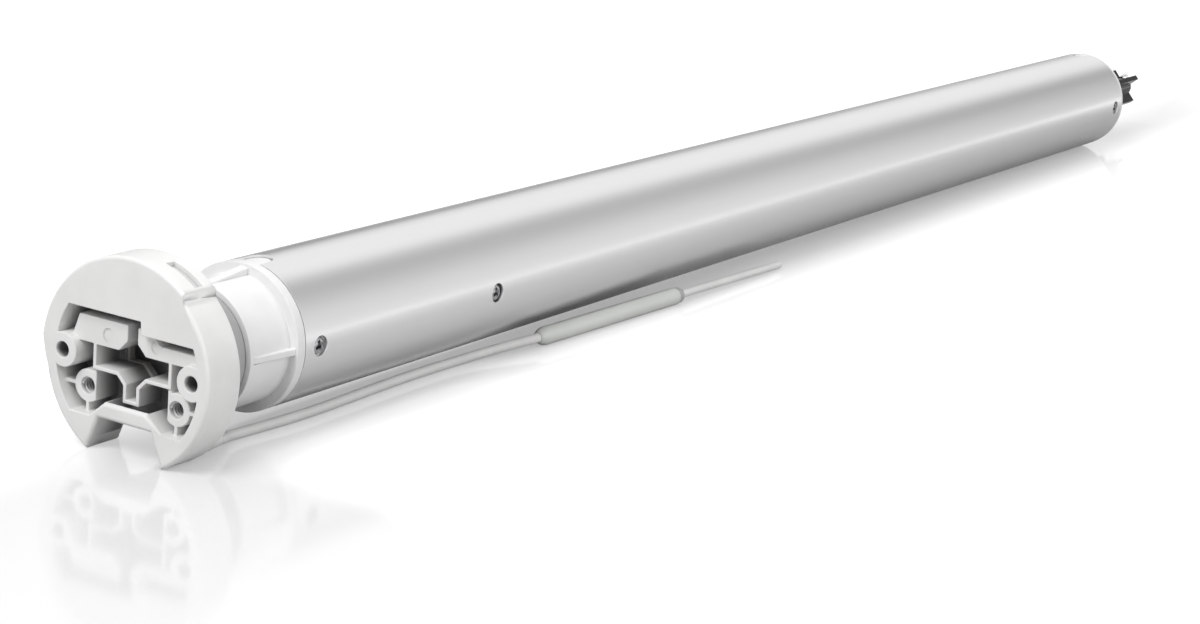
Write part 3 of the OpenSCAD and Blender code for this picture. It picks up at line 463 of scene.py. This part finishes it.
def smooth_route(points, steps):
    """A smooth curve through the points, with a number of steps from each to the next."""
    p = [Vector(x) for x in points]
    path = []
    for i in range(len(p) - 1):
        a, b, c, d = p[max(i - 1, 0)], p[i], p[i + 1], p[min(i + 2, len(p) - 1)]
        for k in range(steps):
            t = k / steps
            path.append(b + t * (c - a) / 2 + t * t * (a - 2.5 * b + 2 * c - 0.5 * d)
                        + t ** 3 * (1.5 * b - 1.5 * c + (d - a) / 2))
    return path + [p[-1]]


def line_points(a, b, count):
    a, b = Vector(a), Vector(b)
    return [a + (b - a) * k / count for k in range(1, count + 1)]


def sleeve_shape():
    """The shrink sleeve, wrinkled along its middle, whose dark band is the second material."""
    length = (Vector(SLEEVE_END) - Vector(SLEEVE_START)).length
    band = length - BAND_WIDTH
    wrinkled = length - WRINKLES_IN - WRINKLES_OUT
    outline = [(0, 0), (0, LEAD_R), (0.1, LEAD_R + 0.35), (0.8, LEAD_R + 0.6), (2, SLEEVE_R - 0.5),
               (3, SLEEVE_R - 0.15), (WRINKLES_IN, SLEEVE_R)]
    for k in range(1, WRINKLES + 1):
        outline.append((WRINKLES_IN + k * wrinkled / WRINKLES, SLEEVE_R - WRINKLE_DEPTH * (k % 2)))
    outline += [(band - 0.2, SLEEVE_R - 0.02), (band, SLEEVE_R - 0.3)]
    bm = lathe(bmesh.new(), SLEEVE_START, SLEEVE_END, outline)
    return lathe(bm, SLEEVE_START, SLEEVE_END, [
        (band, SLEEVE_R - 0.3), (length - 1, SLEEVE_R - 0.35), (length - 0.2, SLEEVE_R - 0.6),
        (length, SLEEVE_R - 1.1), (length, 0)], material=1)


# The cable runs on through the sleeve and ends in the rounded tip of the aerial
lead_path = [p * MM for p in smooth_route(ROUTE, ROUTE_STEPS)
             + line_points(SLEEVE_START, SLEEVE_END, SLEEVE_STEPS)
             + line_points(SLEEVE_END, TIP_END, TIP_STEPS)]
tip_dir = (lead_path[-1] - lead_path[-2]).normalized()
tip_point = lead_path.pop()
lead_radii = [LEAD_R * MM] * (len(lead_path) - TIP_STEPS + 1) + [TIP_R * MM] * (TIP_STEPS - 1)
for back, share in TIP_ROUND:
    lead_path.append(tip_point - tip_dir * back * MM)
    lead_radii.append(TIP_R * share * MM)
lead = add_piece("antenna_cable", sweep(bmesh.new(), lead_path, lead_radii), "motor", ["cord"],
                 "antenna_lead", "antenna_tip")
sleeve = add_piece("antenna_shrink_sleeve", sleeve_shape(), "motor", ["sleeve", "sleeve_band"],
                   "antenna_sleeve")
gland_bm = lathe(bmesh.new(), GLAND_START, GLAND_END, GLAND_OUTLINE)
gland = add_piece("antenna_strain_relief", gland_bm, "motor", ["cord"], "antenna_gland")

# Moulded and turned pieces with rounded edges. In mm and degrees, the places that tell the head's edges
# apart: the ejector marks, the rim with the button's slot in it, and the cable notch in the front face
MARK_X, MARK_Y, MARK_Z, MARK_HALF = (2, 3.2), 9.2, 7.6, 2.6
RIM_R, SLOT_X, SLOT_TURN = 29.3, (6, 10.6), (14, 36)
NOTCH_TOP, NOTCH_R, NOTCH_HALF, FACE_X = -11.5, 30.2, 17, 0.05


def finished_edges(p):
    """The ejector marks' edges, and those of the rim, which the part rounds except at the button's slot."""
    mark = (abs(abs(p.y) - MARK_Y) < MARK_HALF and abs(p.z - MARK_Z) < MARK_HALF
            and MARK_X[0] < p.x < MARK_X[1])
    turn = math.degrees(math.atan2(-p.y, p.z))
    slot = SLOT_X[0] < p.x < SLOT_X[1] and SLOT_TURN[0] < turn < SLOT_TURN[1]
    return mark or (math.hypot(p.y, p.z) > RIM_R and not slot)


def notch_edges(p):
    """The front edges of the cable notch and of the bar above it."""
    return (abs(p.x) < FACE_X and p.z < NOTCH_TOP and math.hypot(p.y, p.z) < NOTCH_R
            and abs(p.y) < NOTCH_HALF)


softened("head_body", "head_moulding", "motor", "head", width=0.3, left_sharp=finished_edges,
         wide=(1.3, notch_edges))
softened("crown", "crown_moulding", "crown", "crown", width=0.25)
softened("tube_adapter", "adapter_moulding", "motor", "crown", width=0.15)
softened("end_cap", "end_cap_moulding", "motor", "crown", width=0.2)
softened("prog_button", "button_moulding", "button", "button", width=0.3)
softened("housing_tube", "tube_shell", "motor", "tube", width=0.12)
softened("output_shaft", "shaft_forging", "output", "shaft", width=0.25)

# Side screws, chromed heads with a cross recess: places in mm, along the tube or out from its axis
SCREW_X, SCREW_SIDES, SCREW_SHARP = (61.4, 157.4, 721.5), 40, 35
SCREW_FOOT, SCREW_TOP, HEAD_R, HEAD_HEIGHT = 16.85, 23.05, 2.85, 1.6
POINT_LEN, POINT_R, THREAD_TURNS, THREAD_SHORT = 1.2, 1.45, 6, 1.4
CREST_R, ROOT_R, THREAD_LEAD = 1.5, 1.22, 0.1
# The recess: the turn and half sizes of its arms, and at each level the share of the arms' length
CROSS_TURN, CROSS_HALF_WIDTH, CROSS_HALF_LENGTH, CROSS_NARROWING = 20, 0.6, 1.85, 0.2
CROSS_LEVELS = ((23.4, 1.15), (21.4, 0.5))


def side_screw(x, sign):
    """One screw that points to the axis, at a place along the tube and on one side of it."""
    seat = SCREW_TOP - SCREW_FOOT - HEAD_HEIGHT
    outline = [(0, 0), (0.6, 0.7), (POINT_LEN, POINT_R)]
    turn = (seat - THREAD_SHORT) / THREAD_TURNS
    for k in range(THREAD_TURNS):
        start = POINT_LEN + THREAD_LEAD + k * turn
        outline += [(start, CREST_R), (start + turn / 2, ROOT_R)]
    outline += [(seat - 0.1, POINT_R), (seat + 0.02, 2.4), (seat + 0.25, HEAD_R), (seat + 0.75, HEAD_R),
                (seat + 1.2, HEAD_R - 0.3), (seat + 1.5, HEAD_R - 0.9), (seat + 1.6, HEAD_R - 1.5),
                (seat + 1.62, 0)]
    return lathe(bmesh.new(), (x, sign * SCREW_FOOT, 0), (x, sign * SCREW_TOP, 0), outline, SCREW_SIDES)


def cross_cutter(x, sign):
    """Two crossed wedges that cut the recess of one screw."""
    bm = bmesh.new()
    for angle in (CROSS_TURN, CROSS_TURN + 90):
        c, s = math.cos(math.radians(angle)), math.sin(math.radians(angle))
        rows = []
        for level, share in CROSS_LEVELS:
            row = []
            for u, v in ((-1, -1), (1, -1), (1, 1), (-1, 1)):
                p = u * CROSS_HALF_LENGTH * share
                q = v * CROSS_HALF_WIDTH * (1 - CROSS_NARROWING * (1 - share))
                row.append(bm.verts.new(Vector((x + p * c - q * s, sign * level, p * s + q * c)) * MM))
            rows.append(row)
        top, bottom = rows
        bm.faces.new(top)
        bm.faces.new(bottom[::-1])
        join(bm, bottom, top)
    bmesh.ops.recalc_face_normals(bm, faces=bm.faces)
    return bm


def cut(piece, cutter_bm):
    mesh = bpy.data.meshes.new("cutter")
    cutter_bm.to_mesh(mesh)
    cutter_bm.free()
    cutter = bpy.data.objects.new("cutter", mesh)
    bpy.context.scene.collection.objects.link(cutter)
    modifier = piece.modifiers.new("cut", "BOOLEAN")
    modifier.operation, modifier.solver, modifier.object = "DIFFERENCE", "EXACT", cutter
    modifier.use_self = True
    done = bpy.data.meshes.new_from_object(piece.evaluated_get(bpy.context.evaluated_depsgraph_get()))
    piece.modifiers.clear()
    piece.data = done
    bpy.data.objects.remove(cutter)


for i, screw_x in enumerate(SCREW_X):
    for sign in (-1, 1):
        name = f"side_screw_{i + 1}_{'near' if sign < 0 else 'far'}"
        piece = add_piece(name, side_screw(screw_x, sign), "motor", ["screw"])
        cut(piece, cross_cutter(screw_x, sign))
        for polygon in piece.data.polygons:
            polygon.use_smooth = True
        piece.data.set_sharp_from_angle(angle=math.radians(SCREW_SHARP))
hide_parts("tube_screws")

# Thread ridges inside the two set-back bosses: depths and radii in mm, foot and crest as shares of the pitch
RIDGE_START, RIDGE_END, RIDGE_PITCH, RIDGE_SIDES = 3.9, 11.4, 1.1, 36
RIDGE_OUTER, RIDGE_INNER, RIDGE_FOOT, RIDGE_CREST = 2.66, 2.1, 0.28, 0.08


def thread_ridge(bm, y, z):
    """One helical ridge round a bore's centre line."""
    length = RIDGE_END - RIDGE_START
    foot, crest = RIDGE_PITCH * RIDGE_FOOT, RIDGE_PITCH * RIDGE_CREST
    section = [(-foot, RIDGE_OUTER), (-crest, RIDGE_INNER), (crest, RIDGE_INNER), (foot, RIDGE_OUTER)]
    count = int(length / RIDGE_PITCH * RIDGE_SIDES)
    rows = []
    for k in range(count + 1):
        angle = 2 * math.pi * k / RIDGE_SIDES
        x = RIDGE_START + length * k / count
        c, s = math.cos(angle), math.sin(angle)
        rows.append([bm.verts.new(Vector((x + dx, y + r * c, z + r * s)) * MM) for dx, r in section])
    for first, second in zip(rows, rows[1:]):
        join(bm, first, second)
    bm.faces.new(rows[0])
    bm.faces.new(rows[-1])


thread_bm = bmesh.new()
for sign in (-1, 1):
    thread_ridge(thread_bm, sign * THREADED_BORE[0], THREADED_BORE[1])
bmesh.ops.recalc_face_normals(thread_bm, faces=thread_bm.faces)
add_piece("boss_threads", thread_bm, "motor", ["button"], smooth=False)

# Floor, on which the head's feet and the far end rest: a place under the head in mm, and its rise over run
FLOOR_X, FLOOR_Z, FLOOR_TILT = 7.5, -27.5, 4.0 / 721.5
FLOOR_SIZE, FLOOR_GREY, FLOOR_ROUGH, FLOOR_SPECULAR = 14, 0.5, 0.09, 0.8
# A glow painted onto it: weak close by, which darkens the floor round the object as painted shade beside its
# real shadow, stronger on the antenna's side of the tube, and full on the open floor
LIFT_NEAR, LIFT_SIDE, LIFT_FAR = 0.3, 0.65, 0.95
REFLECTED_SHARE = 0.92
# Where the painted glow changes, as pairs of distances in metres
BESIDE, BEFORE_FACE, BEYOND_END = (0.06, 0.5), (0.1, 0.5), (0.8, 1.2)
ANTENNA_SIDE, PAST_FACE, FAR_SIDE = (0.005, 0.05), (0, 0.03), (-0.01, 0.07)


def floor_material():
    mat = bpy.data.materials.new("studio_floor")
    mat.use_nodes = True
    tree = mat.node_tree
    bsdf = tree.nodes["Principled BSDF"]
    bsdf.inputs["Base Color"].default_value = (FLOOR_GREY, FLOOR_GREY, FLOOR_GREY, 1)
    bsdf.inputs["Roughness"].default_value = FLOOR_ROUGH
    bsdf.inputs["Specular IOR Level"].default_value = FLOOR_SPECULAR
    bsdf.inputs["Emission Color"].default_value = (1, 1, 1, 1)
    axes = object_axes(tree)[1]
    x, y = axes["X"], axes["Y"]

    def combined(operation, a, b):
        return math_node(tree, operation, a, b)

    def ramp(value, limits):
        return ramp_node(tree, value, *limits)

    # How far a point of the floor is from the object: 0 near it, 1 well away
    beside = ramp(combined("ABSOLUTE", y, 0), BESIDE)
    before = ramp(combined("MULTIPLY", x, -1), BEFORE_FACE)
    away = combined("MAXIMUM", combined("MAXIMUM", beside, before), ramp(x, BEYOND_END))
    out = combined("MULTIPLY", ramp(combined("MULTIPLY", y, -1), ANTENNA_SIDE), ramp(x, PAST_FACE))
    near = combined("ADD", LIFT_NEAR, combined("MULTIPLY", out, LIFT_SIDE - LIFT_NEAR))
    open_floor = combined("MAXIMUM", away, ramp(y, FAR_SIDE))
    painted_glow = combined("ADD", combined("MULTIPLY", near, combined("SUBTRACT", 1, open_floor)),
                    combined("MULTIPLY", open_floor, LIFT_FAR))
    # The camera sees this glow everywhere; reflections see it only well away from the object, which paints
    # the near floor darker in the tube's reflection
    path = tree.nodes.new("ShaderNodeLightPath").outputs
    reflected = combined("MAXIMUM", path["Is Glossy Ray"], path["Is Transmission Ray"])
    shown = combined("MULTIPLY", combined("MULTIPLY", reflected, away), REFLECTED_SHARE)
    seen = combined("MAXIMUM", path["Is Camera Ray"], shown)
    tree.links.new(combined("MULTIPLY", seen, painted_glow), bsdf.inputs["Emission Strength"])
    return mat


def make_floor():
    bpy.ops.mesh.primitive_plane_add(size=FLOOR_SIZE)
    floor = bpy.context.object
    floor.name = "floor"
    floor.rotation_euler = (0, -math.atan(FLOOR_TILT), 0)
    floor.location = Vector((FLOOR_X, 0, FLOOR_Z)) * MM
    floor.data.materials.append(floor_material())


make_floor()

# World: white to the eye and in reflections, softer as a light
WORLD_AS_LIGHT = 0.37


def make_world():
    world = bpy.data.worlds.new("studio")
    bpy.context.scene.world = world
    world.use_nodes = True
    tree = world.node_tree
    background = tree.nodes["Background"]
    background.inputs["Color"].default_value = (1, 1, 1, 1)
    path = tree.nodes.new("ShaderNodeLightPath")
    diffuse = tree.nodes.new("ShaderNodeMapRange")
    diffuse.inputs["To Min"].default_value = 1.0
    diffuse.inputs["To Max"].default_value = WORLD_AS_LIGHT
    tree.links.new(path.outputs["Is Diffuse Ray"], diffuse.inputs["Value"])
    tree.links.new(diffuse.outputs["Result"], background.inputs["Strength"])


make_world()


def add_light(name, place, target, size, power):
    """A square area light that shows only by what it lights, in metres and watts."""
    data = bpy.data.lights.new(name, "AREA")
    data.shape = "SQUARE"
    data.size = size
    data.energy = power
    light = bpy.data.objects.new(name, data)
    light.location = place
    light.rotation_euler = (Vector(target) - Vector(place)).to_track_quat("-Z", "Y").to_euler()
    light.visible_camera = False
    light.visible_glossy = False
    bpy.context.scene.collection.objects.link(light)


add_light("key", place=(-1.3, 0.2, 1.7), target=(0.1, 0, 0), size=1.2, power=37)
add_light("side", place=(0.3, -2.0, 0.9), target=(0.2, 0, 0), size=1.6, power=20)
add_light("top", place=(0.6, 0.5, 2.2), target=(0.4, 0, 0), size=2.0, power=10)

# A glowing sheet round the set, seen only in reflections and lighting nothing, whose greys are painted
# reflections: the highlights and dark bands along the tube.
# Each pair is an angle round the tube's axis, from the top towards the antenna side, and its brightness
PAINTED_REFLECTION = ((-110, 0.05), (-70, 0.1), (-61, 1.0), (-40, 0.94), (-22, 0.97), (-5, 1.04), (8, 0.56), (20, 0.44),
        (32, 0.5), (44, 0.6), (56, 0.7), (68, 0.79), (78, 0.82), (92, 0.76))
# How its antenna side, past an angle, changes along the sheet: places in metres, and shares of the
# brightness
PAINTED_REFLECTION_FADE = ((0.9, 0.97), (2.5, 1), (2.8, 1.08), (3.2, 1.2), (3.9, 0.86), (4.5, 0.5), (6.5, 0.45))
PAINTED_REFLECTION_FADE_ANGLE = 10
SHEET_ANGLES, SHEET_DISTANCE = range(-110, 101, 2), 1.6
SHEET_START, SHEET_STEP, SHEET_COLUMNS = 0.9, 0.2, 29


def between(pairs, value):
    """The value at a place in a row of (place, value) pairs, whose end values hold beyond the ends."""
    for (a, low), (b, high) in zip(pairs, pairs[1:]):
        if value <= b:
            return low + (high - low) * max(0, value - a) / (b - a)
    return pairs[-1][1]


def painted_reflection_grey(angle, x):
    grey = between(PAINTED_REFLECTION, angle)
    if angle > PAINTED_REFLECTION_FADE_ANGLE:
        grey *= between(PAINTED_REFLECTION_FADE, x)
    return grey


def painted_reflection_material():
    mat = bpy.data.materials.new("painted_reflection_sheet")
    mat.use_nodes = True
    tree = mat.node_tree
    bsdf = tree.nodes["Principled BSDF"]
    bsdf.inputs["Base Color"].default_value = (0, 0, 0, 1)
    bsdf.inputs["Specular IOR Level"].default_value = 0
    bsdf.inputs["Emission Strength"].default_value = 1
    source = tree.nodes.new("ShaderNodeAttribute")
    source.attribute_name = "shade"
    tree.links.new(source.outputs["Color"], bsdf.inputs["Emission Color"])
    return mat


def make_painted_reflection_sheet():
    bm = bmesh.new()
    shade = bm.verts.layers.float_color.new("shade")
    rows = []
    for angle in SHEET_ANGLES:
        turn = math.radians(angle)
        row = []
        for k in range(SHEET_COLUMNS):
            x = SHEET_START + SHEET_STEP * k
            vert = bm.verts.new((x, -math.sin(turn) * SHEET_DISTANCE, math.cos(turn) * SHEET_DISTANCE))
            grey = painted_reflection_grey(angle, x)
            vert[shade] = (grey, grey, grey, 1)
            row.append(vert)
        rows.append(row)
    for a, b in zip(rows, rows[1:]):
        for k in range(len(a) - 1):
            bm.faces.new((a[k], a[k + 1], b[k + 1], b[k]))
    mesh = bpy.data.meshes.new("painted_reflection_sheet")
    bm.to_mesh(mesh)
    bm.free()
    mesh.materials.append(painted_reflection_material())
    painted_reflection_sheet = bpy.data.objects.new("painted_reflection_sheet", mesh)
    bpy.context.scene.collection.objects.link(painted_reflection_sheet)
    for ray in ("camera", "diffuse", "shadow", "transmission"):
        setattr(painted_reflection_sheet, "visible_" + ray, False)


# The sheet paints the reflections on the metal
make_painted_reflection_sheet()

scene = bpy.context.scene
scene.view_settings.view_transform = "Standard"
